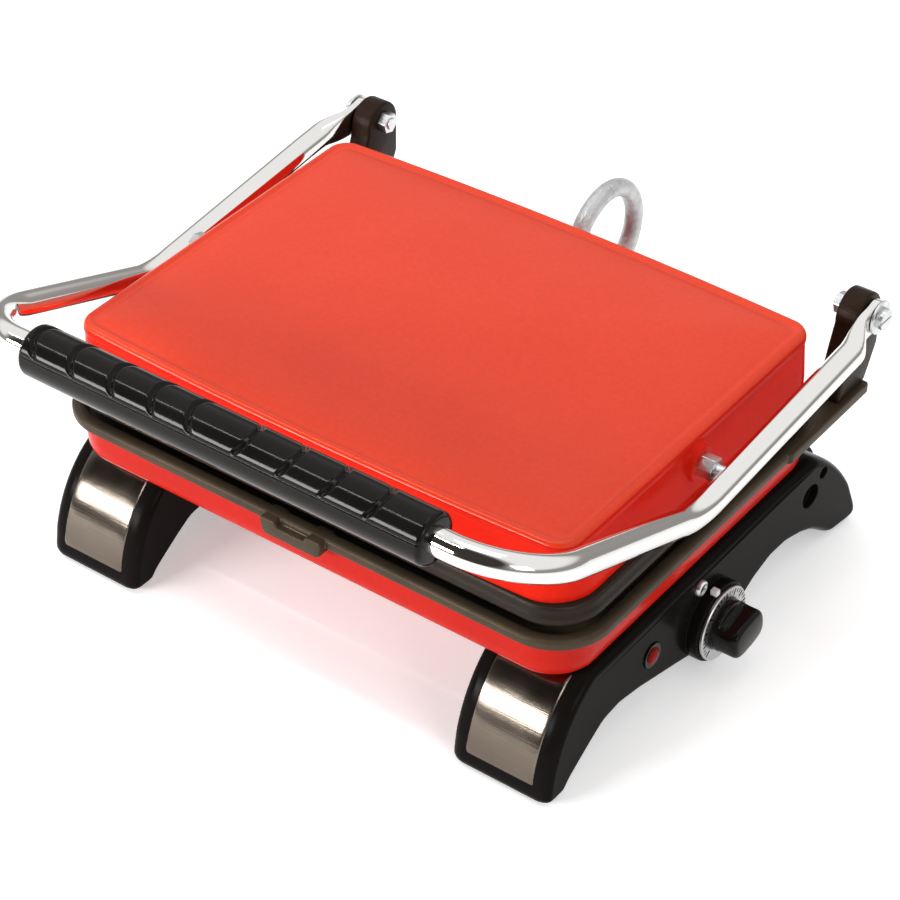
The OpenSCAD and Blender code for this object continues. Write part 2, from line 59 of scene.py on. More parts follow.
# ---------- shared sizes, in millimetres, as in the CAD source ----------
LID_A, LID_B, LID_BOW, LID_Z, LID_CROWN = 140.0, 99.0, 4.0, 132.0, 3.0
LID_LOW, STUD_Z = 100.0, 118.0
PLATE_A, PLATE_B, PLATE_R = 153.0, 112.0, 29.0
RIB_PITCH, RIBS_EACH_SIDE = 9.5, 14
PAN_A, PAN_B, PAN_R = 147.5, 107.5, 24.0
RIM_Z, BASE_Z = 85.4, 58.6
PIVOT_Y, PIVOT_Z = 135.0, 126.0
KINK_Y, KINK_Z = -28.5, 112.8
BAR_Y, BAR_Z = -156.0, 163.0
ARM_X, TUBE_R = 159.5, 6.5
KINK_R, BEND_R = 60.0, 38.0
GRIP_R, GRIP_L, GRIP_MID = 12.5, 111.5, 2.5
LEG_OUT, LEG_IN = 149.0, 95.0
CTL_Y, CTL_Z = 9.0, 22.6
SCREW_Y, SCREW_Z = CTL_Y - 11.4, CTL_Z + 26.2
LAMP_Y, LAMP_Z = -41.0, 35.0
HOSE_X, HOSE_R, HOSE_UP, HOSE_LOW = -3.0, 4.75, 112.0, 68.0
ANG_F = math.atan2(BAR_Z - KINK_Z, KINK_Y - BAR_Y)
ANG_R = math.atan2(PIVOT_Z - KINK_Z, PIVOT_Y - KINK_Y)

# ---------- camera and light ----------
CAM_AZ, CAM_EL, CAM_ROLL = 36.81, 38.17, -0.21
CAM_DISTANCE, CAM_LENS = 1.37779, 114.243
CAM_TARGET = Vector((0.00147, 0.0, 0.06))
WORLD_STRENGTH = 1.12
SKY_LOW = (0.50, (0.34, 0.33, 0.32, 1))
SKY_HIGH = (0.74, (0.92, 0.92, 0.92, 1))
SKY_BETWEEN = ((0.56, 0.30), (0.64, 0.34), (0.69, 0.80))
DARK_SIDE = (0.0, -0.78, 0.62)
DARK_TONE = (0.045, 0.038, 0.034, 1)
DARK_FROM, DARK_TO = 0.58, 0.82
FLOOR_HALF, FLOOR_GLOW = 40.0, 0.40


def camera():
    az, el, roll = map(math.radians, (CAM_AZ, CAM_EL, CAM_ROLL))
    back = Vector((math.sin(az) * math.cos(el), -math.cos(az) * math.cos(el), math.sin(el)))
    right = Vector((math.cos(az), math.sin(az), 0.0))
    up = back.cross(right)
    x_axis = right * math.cos(roll) + up * math.sin(roll)
    y_axis = up * math.cos(roll) - right * math.sin(roll)
    data = bpy.data.cameras.new("camera")
    data.lens, data.sensor_width = CAM_LENS, 36.0
    data.clip_start, data.clip_end = 0.05, 50.0
    cam = bpy.data.objects.new("camera", data)
    turn = Matrix((x_axis, y_axis, back)).transposed().to_4x4()
    cam.matrix_world = Matrix.Translation(CAM_TARGET + back * CAM_DISTANCE) @ turn
    bpy.context.scene.collection.objects.link(cam)
    bpy.context.scene.camera = cam


def area_light(name, place, aim, size, power):
    data = bpy.data.lights.new(name, "AREA")
    data.shape, data.size, data.size_y = "RECTANGLE", size[0], size[1]
    data.energy = power
    lamp = bpy.data.objects.new(name, data)
    lamp.location = place
    lamp.rotation_mode = "QUATERNION"
    lamp.rotation_quaternion = (Vector(aim) - Vector(place)).to_track_quat("-Z", "Y")
    bpy.context.scene.collection.objects.link(lamp)


def sky_by_height(tree, coord):
    """A pale room that darkens toward its floor."""
    split = tree.nodes.new("ShaderNodeSeparateXYZ")
    ramp = tree.nodes.new("ShaderNodeValToRGB")
    span = tree.nodes.new("ShaderNodeMapRange")
    span.inputs["From Min"].default_value = -1.0
    tree.links.new(coord.outputs["Generated"], split.inputs[0])
    tree.links.new(split.outputs["Z"], span.inputs["Value"])
    tree.links.new(span.outputs[0], ramp.inputs[0])
    stops = ramp.color_ramp.elements
    stops[0].position, stops[0].color = SKY_LOW
    stops[1].position, stops[1].color = SKY_HIGH
    for place, level in SKY_BETWEEN:
        stops.new(place).color = (level, 0.97 * level, 0.94 * level, 1)
    return ramp.outputs[0]


def dark_side(tree, coord):
    """How far a direction lies in the dark part of the room, which the chrome reflects."""
    facing = tree.nodes.new("ShaderNodeVectorMath")
    facing.operation = "DOT_PRODUCT"
    facing.inputs[1].default_value = DARK_SIDE
    tree.links.new(coord.outputs["Generated"], facing.inputs[0])
    shadow = tree.nodes.new("ShaderNodeMapRange")
    shadow.interpolation_type = "SMOOTHSTEP"
    shadow.inputs["From Min"].default_value = DARK_FROM
    shadow.inputs["From Max"].default_value = DARK_TO
    tree.links.new(facing.outputs["Value"], shadow.inputs["Value"])
    return shadow.outputs[0]


def room():
    world = bpy.data.worlds.new("studio")
    world.use_nodes = True
    tree = world.node_tree
    coord = tree.nodes.new("ShaderNodeTexCoord")
    blend = tree.nodes.new("ShaderNodeMix")
    blend.data_type = "RGBA"
    blend.inputs[7].default_value = DARK_TONE
    tree.links.new(dark_side(tree, coord), blend.inputs[0])
    tree.links.new(sky_by_height(tree, coord), blend.inputs[6])
    background = tree.nodes["Background"]
    tree.links.new(blend.outputs[2], background.inputs["Color"])
    background.inputs["Strength"].default_value = WORLD_STRENGTH
    bpy.context.scene.world = world


def lights():
    area_light("key", (-0.83, -1.52, 0.56), (-0.83, 0.0, 0.05), (1.1, 0.30), 30.0)
    area_light("strip", (-0.94, -0.70, 1.72), (-0.94, 0.0, 0.1), (1.5, 0.07), 9.0)
    area_light("top", (-0.1, 0.25, 2.3), (0, 0, 0.05), (1.2, 1.2), 5.5)
    area_light("fill", (1.5, -0.7, 0.9), (0, 0, 0.05), (0.6, 0.6), 5.0)
    bpy.context.scene.view_settings.view_transform = "Standard"


# ---------- materials ----------
def noise(tree, scale, detail, vector):
    tex = tree.nodes.new("ShaderNodeTexNoise")
    tex.inputs["Scale"].default_value = scale
    tex.inputs["Detail"].default_value = detail
    tree.links.new(vector, tex.inputs["Vector"])
    return tex.outputs["Fac"]


def spread(tree, value, low, high, from_low=0.3, from_high=0.7):
    node = tree.nodes.new("ShaderNodeMapRange")
    node.inputs["From Min"].default_value = from_low
    node.inputs["From Max"].default_value = from_high
    node.inputs["To Min"].default_value = low
    node.inputs["To Max"].default_value = high
    tree.links.new(value, node.inputs["Value"])
    return node.outputs[0]


def mix(tree, factor, first, other):
    """A blend of two tones, each a colour or another node's output."""
    node = tree.nodes.new("ShaderNodeMix")
    node.data_type = "RGBA"
    tree.links.new(factor, node.inputs[0])
    for socket, tone in ((node.inputs[6], first), (node.inputs[7], other)):
        if isinstance(tone, tuple):
            socket.default_value = (*tone, 1.0)
        else:
            tree.links.new(tone, socket)
    return node.outputs[2]


def worn(tree, tone, softened, edge, amount, wear):
    """Brings the edge colour out where the softened normal leaves the true one."""
    own = tree.nodes.new("ShaderNodeNewGeometry")
    dot = tree.nodes.new("ShaderNodeVectorMath")
    dot.operation = "DOT_PRODUCT"
    tree.links.new(softened, dot.inputs[0])
    tree.links.new(own.outputs["Normal"], dot.inputs[1])
    scuff = tree.nodes.new("ShaderNodeMath")
    scuff.operation = "MULTIPLY"
    tree.links.new(spread(tree, dot.outputs["Value"], amount, 0.0, 0.80, 0.995), scuff.inputs[0])
    tree.links.new(spread(tree, wear, 0.35, 1.0), scuff.inputs[1])
    return mix(tree, scuff.outputs[0], tone, edge)


def shade(name, colour, rough, metallic=0.0, second=None, patch=40.0, grain=0.0, grain_scale=900.0,
          stretch=(1.0, 1.0, 1.0), rough_vary=0.08, edge=None, edge_amount=0.6, round_mm=0.35,
          specular=0.5, speck=0.18):
    """A procedural finish: patchy colour, fine grain relief, uneven roughness and worn, softened edges."""
    mat = bpy.data.materials.new(name)
    mat.use_nodes = True
    tree = mat.node_tree
    body = tree.nodes["Principled BSDF"]
    coord = tree.nodes.new("ShaderNodeTexCoord")
    place = tree.nodes.new("ShaderNodeMapping")
    place.inputs["Scale"].default_value = stretch
    tree.links.new(coord.outputs["Object"], place.inputs["Vector"])
    patches = noise(tree, patch, 4.0, coord.outputs["Object"])
    tone = mix(tree, spread(tree, patches, 0.0, 1.0), colour, second or tuple(0.82 * c for c in colour))
    fine = noise(tree, grain_scale, 5.0, place.outputs["Vector"])
    tone = mix(tree, spread(tree, fine, 0.0, speck), tone, tuple(0.55 * c for c in colour))
    bevel = tree.nodes.new("ShaderNodeBevel")
    bevel.samples = 4
    bevel.inputs["Radius"].default_value = round_mm * MM
    if edge:
        wear = noise(tree, patch * 6.0, 3.0, coord.outputs["Object"])
        tone = worn(tree, tone, bevel.outputs[0], edge, edge_amount, wear)
    tree.links.new(tone, body.inputs["Base Color"])
    uneven = spread(tree, patches, rough - rough_vary / 2, rough + rough_vary / 2)
    tree.links.new(uneven, body.inputs["Roughness"])
    bump = tree.nodes.new("ShaderNodeBump")
    bump.inputs["Distance"].default_value = grain * MM
    tree.links.new(fine, bump.inputs["Height"])
    tree.links.new(bevel.outputs[0], bump.inputs["Normal"])
    tree.links.new(bump.outputs[0], body.inputs["Normal"])
    body.inputs["Metallic"].default_value = metallic
    body.inputs["Specular IOR Level"].default_value = specular
    return mat


ENAMEL = dict(grain=0.02, grain_scale=420, patch=18)
LOOKS = {
    "red_enamel": dict(ENAMEL, colour=(0.77, 0.047, 0.012), rough=0.22, second=(0.74, 0.043, 0.010),
                       specular=0.26, edge=(0.82, 0.06, 0.03), edge_amount=0.35),
    # the lid's own red enamel made darker and deeper red: painted shade for the lid's walls and bosses
    "red_wall_painted_shade": dict(ENAMEL, colour=(0.66, 0.017, 0.007), rough=0.20, second=(0.60, 0.014, 0.005),
                     specular=0.02, edge=(0.80, 0.05, 0.02), edge_amount=0.5),
    # the red enamel made darker: painted shade for the pan, which sits under the plate's lip
    "red_pan_painted_shade": dict(ENAMEL, colour=(0.52, 0.013, 0.006), rough=0.20, second=(0.47, 0.011, 0.005),
                    specular=0.06, edge=(0.70, 0.04, 0.02), edge_amount=0.5),
    "dark_cast": dict(colour=(0.024, 0.019, 0.014), rough=0.34, metallic=0.20, specular=0.08,
                      second=(0.028, 0.021, 0.017), grain=0.12, grain_scale=1400,
                      edge=(0.16, 0.13, 0.10), edge_amount=0.8, round_mm=0.7),
    "cast_lip": dict(colour=(0.066, 0.047, 0.029), rough=0.40, metallic=0.22, specular=0.12,
                     second=(0.046, 0.034, 0.021), grain=0.14, grain_scale=1300,
                     edge=(0.24, 0.20, 0.16), edge_amount=0.8, round_mm=0.7),
    "brown_cast": dict(colour=(0.028, 0.016, 0.0105), rough=0.34, metallic=0.2, specular=0.06,
                       second=(0.019, 0.011, 0.0075), grain=0.16, grain_scale=1500,
                       edge=(0.14, 0.10, 0.08), edge_amount=0.6, round_mm=0.8),
    "black_bakelite": dict(colour=(0.0060, 0.0052, 0.0046), rough=0.10, specular=0.13,
                           second=(0.0085, 0.0075, 0.0066), grain=0.015, grain_scale=700,
                           edge=(0.03, 0.03, 0.03), edge_amount=0.3, round_mm=0.5),
    "leg_black": dict(colour=(0.0060, 0.0050, 0.0044), rough=0.22, specular=0.025,
                      second=(0.0080, 0.0068, 0.0060), grain=0.02, grain_scale=800,
                      edge=(0.05, 0.05, 0.05), edge_amount=0.4, round_mm=0.8),
    "brushed_trim": dict(colour=(0.17, 0.14, 0.115), rough=0.15, metallic=1.0,
                         second=(0.145, 0.12, 0.097), grain=0.03, grain_scale=1800,
                         stretch=(0.02, 1.0, 1.0), edge=(0.8, 0.8, 0.8)),
    "chrome_tube": dict(colour=(0.80, 0.79, 0.77), rough=0.06, metallic=1.0, second=(0.78, 0.77, 0.75),
                        patch=9, grain=0.001, grain_scale=500, rough_vary=0.02, speck=0.03),
    "steel_hardware": dict(colour=(0.80, 0.81, 0.82), rough=0.32, metallic=1.0, grain=0.02, patch=160,
                           grain_scale=1600, edge=(0.9, 0.9, 0.9)),
    "scale_metal": dict(colour=(0.62, 0.62, 0.62), rough=0.34, metallic=1.0, grain=0.02, patch=90,
                        grain_scale=2200, edge=(0.85, 0.85, 0.85)),
    "heater_sheath": dict(colour=(0.10, 0.085, 0.075), rough=0.5, metallic=0.9, grain=0.05),
    "reflector_sheet": dict(colour=(0.60, 0.60, 0.61), rough=0.28, metallic=1.0, grain=0.02),
    "foot_rubber": dict(colour=(0.012, 0.012, 0.012), rough=0.75, grain=0.12, grain_scale=1200),
    "lamp_red": dict(colour=(0.26, 0.008, 0.004), rough=0.10, second=(0.12, 0.003, 0.002), patch=400,
                     specular=0.04),
    "white_mark": dict(colour=(0.80, 0.80, 0.77), rough=0.45, second=(0.74, 0.74, 0.70), grain=0.02),
    "ceramic": dict(colour=(0.72, 0.69, 0.60), rough=0.5, grain=0.05),
    "copper_tube": dict(colour=(0.75, 0.36, 0.20), rough=0.3, metallic=1.0, grain=0.02),
    "sleeving": dict(colour=(0.55, 0.50, 0.40), rough=0.7, grain=0.15, grain_scale=1800),
    "hose_grey": dict(colour=(0.66, 0.67, 0.67), rough=0.34, metallic=0.85, grain=0.35,
                      grain_scale=1700, second=(0.50, 0.51, 0.51), patch=300),
}
MATS = {name: shade(name, **look) for name, look in LOOKS.items()}
SLOTS = {row["node"]: row["material_slot"] for row in frame["record"]["subparts"]}


# ---------- mesh helpers ----------
def plain_mesh(name, verts, faces):
    """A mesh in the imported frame, from points in millimetres of the CAD source's own frame."""
    mesh = bpy.data.meshes.new(name)
    mesh.from_pydata([((x + MID_X) * MM, y * MM, z * MM) for x, y, z in verts], [], faces)
    tool = bmesh.new()
    tool.from_mesh(mesh)
    bmesh.ops.remove_doubles(tool, verts=tool.verts, dist=1e-6)
    bmesh.ops.recalc_face_normals(tool, faces=tool.faces)
    tool.to_mesh(mesh)
    tool.free()
    return mesh


def smooth(mesh, sharp):
    """Smooth shading, with edges sharper than this many degrees kept."""
    mesh.polygons.foreach_set("use_smooth", [True] * len(mesh.polygons))
    mesh.set_sharp_from_angle(angle=math.radians(sharp))


def piece(name, shape, slot_name, body, nodes=(), look=None, sharp=35.0):
    """A visible piece in the looks of its slot, or in the given look instead."""
    mesh = plain_mesh(name, *shape)
    smooth(mesh, sharp)
    mesh.materials.append(MATS[look or slot_name])
    obj = bpy.data.objects.new(name, mesh)
    bpy.context.scene.collection.objects.link(obj)
    if body:
        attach(obj, body)
    if nodes:
        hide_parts(*nodes)
    return obj


def carve(obj, shape):
    """Cuts closed shapes out of a piece."""
    cutter = bpy.data.objects.new("cutter", plain_mesh("cutter", *shape))
    bpy.context.scene.collection.objects.link(cutter)
    step = obj.modifiers.new("cut", "BOOLEAN")
    step.operation, step.solver, step.object = "DIFFERENCE", "EXACT", cutter
    step.use_self = True
    view = bpy.context.evaluated_depsgraph_get()
    done = bpy.data.meshes.new_from_object(obj.evaluated_get(view))
    obj.modifiers.remove(step)
    obj.data = done
    bpy.data.objects.remove(cutter)
    smooth(done, 35)


def even(obj):
    """Large flat faces stay flat where they meet small rounded rims."""
    step = obj.modifiers.new("normals", "WEIGHTED_NORMAL")
    step.keep_sharp = True


def merged(*shapes):
    """Several (points, faces) pairs as one."""
    verts, faces = [], []
    for points, polys in shapes:
        start = len(verts)
        verts += points
        faces += [tuple(i + start for i in poly) for poly in polys]
    return verts, faces


def mirrored(shape):
    verts, faces = shape
    return [(-x, y, z) for x, y, z in verts], [tuple(reversed(f)) for f in faces]


def across(shape, order):
    """The same shape with its axes taken in another order."""
    verts, faces = shape
    return [tuple(v[i] for i in order) for v in verts], faces


def loft(rings, closed=False):
    """Quads between rings of equal length; the two ends are filled unless the last ring meets the first."""
    n = len(rings[0])
    verts = [p for ring in rings for p in ring]
    faces = []
    for k in range(len(rings) if closed else len(rings) - 1):
        a, b = k * n, ((k + 1) % len(rings)) * n
        faces += [(a + i, a + (i + 1) % n, b + (i + 1) % n, b + i) for i in range(n)]
    if not closed:
        faces += [tuple(range(n)), tuple((len(rings) - 1) * n + i for i in range(n))]
    return verts, faces


def lathe(profile, y, z, steps=72, closed=False):
    """A turned shape about the line through (y, z) along X, from (x, radius) pairs."""
    turn = [2 * math.pi * k / steps for k in range(steps)]
    rings = [[(x, y + r * math.cos(t), z + r * math.sin(t)) for t in turn] for x, r in profile]
    return loft(rings, closed)


def outline(a, b, bow, r, side=24, corner=14):
    """A rounded rectangle whose front and back bow outward."""
    ways = ((1, 1), (-1, 1), (-1, -1), (1, -1))

    def on_corner(turn, t):
        sx, sy = ways[turn % 4]
        ang = math.pi / 2 * (turn + t)
        return sx * (a - r) + r * math.cos(ang), sy * (b - r) + r * math.sin(ang)

    points = []
    for turn in range(4):
        points += [on_corner(turn, k / corner) for k in range(corner + 1)]
        (x0, y0), (x1, y1) = points[-1], on_corner(turn + 1, 0)
        points += [(x0 + (x1 - x0) * k / side, y0 + (y1 - y0) * k / side) for k in range(1, side)]
    return [(x, y + math.copysign(bow * (1 - (x / a) ** 2), y) * min(1.0, abs(y) / (b - r)))
            for x, y in points]


def fillet(points, radius, steps=6):
    """Rounds the corners of a closed outline, by one radius or one for each point."""
    out = []
    n = len(points)
    for i, p in enumerate(points):
        r = radius[i] if isinstance(radius, (list, tuple)) else radius
        before, here, after = Vector(points[i - 1]), Vector(p), Vector(points[(i + 1) % n])
        u, v = (before - here).normalized(), (after - here).normalized()
        angle = u.angle(v)
        if r <= 0 or angle > math.pi - 0.05:
            out.append(tuple(here))
            continue
        cut = min(r / math.tan(angle / 2), 0.48 * (before - here).length, 0.48 * (after - here).length)
        p0, p1 = here + u * cut, here + v * cut
        for k in range(steps + 1):
            t = k / steps
            out.append(tuple(p0 * (1 - t) ** 2 + here * 2 * t * (1 - t) + p1 * t * t))
    return out


def resample(points, step):
    """A closed outline with even spacing."""
    ring = [Vector(p) for p in points] + [Vector(points[0])]
    total = sum((q - p).length for p, q in zip(ring, ring[1:]))
    count = max(8, int(total / step))
    out, seg, start = [], 0, 0.0
    for k in range(count):
        want = total * k / count
        while start + (ring[seg + 1] - ring[seg]).length < want:
            start += (ring[seg + 1] - ring[seg]).length
            seg += 1
        span = (ring[seg + 1] - ring[seg]).length
        out.append(tuple(ring[seg].lerp(ring[seg + 1], (want - start) / span)))
    return out


def soft_outline(points, radius, step, steps=4):
    """An outline with rounded corners and even spacing."""
    return resample(fillet(points, radius, steps), step)


def slab(points, x0, x1, r, steps=5, wide=1.0):
    """A side outline of (y, z) points swept from x0 to x1. Its rims are rounded: r deep, wide * r along X."""
    n = len(points)
    area = sum(p[0] * q[1] - q[0] * p[1] for p, q in zip(points, points[1:] + points[:1]))
    hand = 1 if area > 0 else -1
    inward = []
    for i in range(n):
        tangent = (Vector(points[(i + 1) % n]) - Vector(points[i - 1])).normalized()
        inward.append(Vector((-tangent.y, tangent.x)) * hand)

    def ring(x, inset):
        return [(x, p[0] + d.x * inset, p[1] + d.y * inset) for p, d in zip(points, inward)]

    turns = [math.pi / 2 * k / steps for k in range(steps + 1)]
    rings = [ring(x0 + wide * r * (1 - math.cos(t)), r * (1 - math.sin(t))) for t in turns]
    rings += [ring(x1 - wide * r * (1 - math.sin(t)), r * (1 - math.cos(t))) for t in turns]
    return loft(rings)


def carried(path, section, first=None, last=None):
    """Rings of a section of (side, up) pairs along a path; first and last set the directions at its ends."""
    rings = []
    side = Vector((1, 0, 0))
    for k, p in enumerate(path):
        ahead = (path[min(k + 1, len(path) - 1)] - path[max(k - 1, 0)]).normalized()
        if first is not None and k == 0:
            ahead = first
        if last is not None and k == len(path) - 1:
            ahead = last
        side = (side - ahead * side.dot(ahead)).normalized()
        up = ahead.cross(side)
        rings.append([tuple(p + side * a + up * b) for a, b in section])
    return rings


def power_ring(a, b, power, steps=40):
    """A closed section between an ellipse, at power 2, and a rounded rectangle, at higher powers."""
    out = []
    for k in range(steps):
        c, s = math.cos(2 * math.pi * k / steps), math.sin(2 * math.pi * k / steps)
        out.append((a * math.copysign(abs(c) ** (2 / power), c), b * math.copysign(abs(s) ** (2 / power), s)))
    return out


def bend(points, radii, steps):
    """A 3-D polyline with its inner corners turned into arcs."""
    out = [Vector(points[0])]
    for i in range(1, len(points) - 1):
        here = Vector(points[i])
        u, v = (Vector(points[i - 1]) - here).normalized(), (Vector(points[i + 1]) - here).normalized()
        half = u.angle(v) / 2
        cut = radii[i - 1] / math.tan(half)
        centre = here + (u + v).normalized() * (radii[i - 1] / math.sin(half))
        first, last = here + u * cut - centre, here + v * cut - centre
        total = first.angle(last)
        for k in range(steps + 1):
            t = k / steps
            way = (first * math.sin((1 - t) * total) + last * math.sin(t * total)) / math.sin(total)
            out.append(centre + way)
    return out + [Vector(points[-1])]


def bezier(p, t):
    w = ((1 - t) ** 3, 3 * (1 - t) ** 2 * t, 3 * (1 - t) * t * t, t ** 3)
    return Vector((sum(c * q[0] for c, q in zip(w, p)), sum(c * q[1] for c, q in zip(w, p))))


def rising(value, start, length):
    """0 before start, 1 from start + length on, and straight between."""
    return min(1.0, max(0.0, (value - start) / length))


# ---------- lid ----------
LID_BACK = 0.024
TOP_FROM = 130.5 * MM
# outset from the lid's outline, and height
LID_WALL = [(3.9, LID_LOW), (4.1, LID_LOW + 1.2), (3.8, 108.0), (2.3, 118.0), (1.1, 126.4), (1.0, 127.4),
            (1.3, 128.2), (1.2, 129.4), (0.8, 130.6), (0.1, 131.6), (-1.0, 132.3), (-2.2, 132.6),
            (-3.5, 132.1), (-4.7, 131.75), (-6.3, 132.15), (-9.0, 132.7)]


def lid():
    """Pressed lid: drafted wall, rounded shoulder, a shallow groove inside it and a slightly domed top."""
    rings = []
    for d, z in LID_WALL:
        low = max(0.0, (LID_Z - z) / (LID_Z - LID_LOW))
        edge = outline(LID_A + d, LID_B + d, LID_BOW, max(5.0, 9.5 + d + 8 * low))
        rings.append([(x, y + LID_BACK * max(0.0, y), z) for x, y in edge])
    groove = rings[-1]
    for k in range(1, 9):
        t = k / 9
        rise = 0.85 * LID_CROWN * (1 - (1 - t) ** 2)
        rings.append([(x * (1 - t), y * (1 - t), z + rise) for x, y, z in groove])
    inner = [[(x, y, z) for x, y in outline(LID_A + d, LID_B + d, LID_BOW, 20)]
             for d, z in ((-2.5, 128.5), (-0.6, LID_LOW + 0.2))]
    obj = piece("lid", loft(inner + rings), "red_enamel", "upper_plate", ("lid_shell",))
    # faces below TOP_FROM take the darker copy of the enamel: painted shade on the lid's sides
    obj.data.materials.append(MATS["red_wall_painted_shade"])
    for face in obj.data.polygons:
        face.material_index = 0 if face.center.z > TOP_FROM else 1


def lid_bosses():
    profile = [(137, 12), (140.8, 11.2), (142.0, 10.0), (142.8, 9.3), (144.2, 9.0), (144.7, 8.5),
               (144.8, 7.6), (144.8, 4.2), (140.0, 4.2)]
    right = lathe(profile, 0, STUD_Z)
    # the bosses take the darker copy of the lid enamel: painted shade
    piece("lid_bosses", merged(right, mirrored(right)), "red_enamel", "upper_plate", look="red_wall_painted_shade")


# ---------- base ----------
def base_pan():
    z = BASE_Z
    steps = [(-6.0, 79.6), (-2.0, 79.7), (0.0, 79.8), (-0.2, 77.0), (-1.0, z + 9), (-1.4, z + 4.4),
             (-2.2, z + 2.2), (-3.6, z + 0.7), (-5.6, z), (-30, z), (-70, z)]
    rings = [[(x, y, h) for x, y in outline(PAN_A + d, PAN_B + d, 0.0, max(6.0, PAN_R + d))]
             for d, h in steps]
    # the pan takes the darker copy of the enamel: painted shade
    piece("base_pan", loft(rings), "red_enamel", "base", ("base_shell",), look="red_pan_painted_shade")


# ---------- cooking plates ----------
def plate_body(steps):
    """A plate from (outset, height) pairs all round its edge."""
    return loft([[(x, y, z) for x, y in outline(PLATE_A + d, PLATE_B + d, 0.0, max(4.0, PLATE_R + d))]
                 for d, z in steps])


def ribs(z_root, z_tip, reach):
    """Tapered cooking ribs with rounded-off ends."""
    ends = ((0.0, 0.25), (0.8, 0.8), (2.2, 1.0))
    along = [(-reach + d, s) for d, s in ends] + [(reach - d, s) for d, s in reversed(ends)]
    shapes = []
    for i in range(-RIBS_EACH_SIDE, RIBS_EACH_SIDE + 1):
        rings = []
        for y, s in along:
            rise = (z_tip - z_root) * s
            half = ((1.9, 0.0), (1.3, 0.65 * rise), (0.8, rise))
            section = [(-a, h) for a, h in half] + [(a, h) for a, h in reversed(half)]
            rings.append([(RIB_PITCH * i + a, y, z_root + h) for a, h in section])
        shapes.append(loft(rings))
    return merged(*shapes)


def upper_plate():
    body = plate_body([(-105, 99.8), (-60, 99.8), (-7.2, 99.8), (-6.4, 99.6), (-5.9, 99.0), (-5.6, 98.2),
                       (-5.4, 97.0), (-5.0, 95.8), (-4.5, 94.9), (-4.2, 94.0), (-4.15, 92.4), (-4.4, 91.3),
                       (-5.1, 90.6), (-6.2, 90.4), (-9.6, 90.4), (-10.3, 90.7), (-10.8, 91.6),
                       (-11.3, 92.7), (-12.2, 93.0), (-60, 93.0), (-105, 93.0)])
    shape = merged(body, ribs(93.3, 91.0, 96))
    piece("plate_upper", shape, "dark_cast", "upper_plate", ("upper_grill_plate",))


def lower_plate():
    body = plate_body([(-105, 77.0), (-60, 77.0), (-9.4, 77.0), (-8.6, 77.6), (-8.4, 79.7), (-2.2, 79.75),
                       (-0.9, 80.0), (-0.2, 80.6), (0.0, 81.6), (0.0, 83.6), (-0.25, 84.6), (-0.9, 85.2),
                       (-1.8, RIM_Z), (-5.2, 85.35), (-6.1, 85.0), (-6.6, 84.2), (-7.2, 82.8),
                       (-7.8, 82.2), (-8.8, 82.0), (-60, 82.0), (-105, 82.0)])
    lip = [(-18, 85.2), (-16.8, 77.4), (-14.6, 75.9), (14.6, 75.9), (16.8, 77.4), (18, 85.2), (9.0, 85.2),
           (7.6, 82.2), (-7.6, 82.2), (-9.0, 85.2)]
    spout = across(slab(soft_outline(lip, 1.6, 0.8), -116.0, -104.0, 0.9, 3), (1, 0, 2))
    ear = [(134, 95), (150.4, 95), (150.8, 63), (154.5, 66), (154.5, 137), (134, 137)]
    ears = across(slab(soft_outline(ear, 2.0, 1.5), 79.8, RIM_Z, 0.8, 3), (1, 2, 0))
    shape = merged(body, ribs(81.9, 84.7, 92), spout, ears, mirrored(ears))
    piece("plate_lower", shape, "dark_cast", "base", ("lower_grill_plate",), look="cast_lip")


# ---------- legs ----------
NOSE = [(-123.5, 0.6), (-121.5, 28), (-108, 50), (-88, BASE_Z)]
TAIL = [(100, BASE_Z), (119, 50), (136, 27), (142.5, 0.6)]
UNDER = [(118, 0.6), (110, 7), (101, 13), (91, 17), (77, 20.5), (63, 20.5), (50, 17), (38, 11), (28, 6.4),
         (12, 4.2), (-4, 6), (-20, 10.5), (-35, 14.5), (-50, 18.5), (-66, 21.5), (-78, 20.5), (-88, 15),
         (-97, 9.5), (-104, 5), (-108, 0.6)]
TOE_SIDE, TOE_OUT, TOE_FROM, TOE_RUN = 125, 5.5, 60, 82
GLAND_X, GLAND_Z = LEG_OUT - 20, 38
TRIM_X = 122.0


def leg_outline():
    nose = [NOSE[0]] + [tuple(bezier(NOSE, k / 14)) for k in range(3, 15)]
    tail = [tuple(bezier(TAIL, k / 12)) for k in range(9)] + [TAIL[3]]
    radii = [12.0] * (len(nose) + len(tail) + len(UNDER))
    heel = len(nose) + len(tail) - 1
    radii[0], radii[heel], radii[heel + 1], radii[-1] = 6.0, 8.0, 9.0, 8.0
    return resample(fillet(nose + tail + UNDER, radii), 2.0)


def leg_solid():
    """One leg; the outer side of its rear foot spreads outward."""
    verts, faces = slab(leg_outline(), LEG_IN, LEG_OUT, 4.2, 7, 1.7)

    def toe(x, y):
        return TOE_OUT * max(0.0, (y - TOE_FROM) / TOE_RUN) ** 2 if x > TOE_SIDE else 0.0

    return [(x + toe(x, y), y, z) for x, y, z in verts], faces


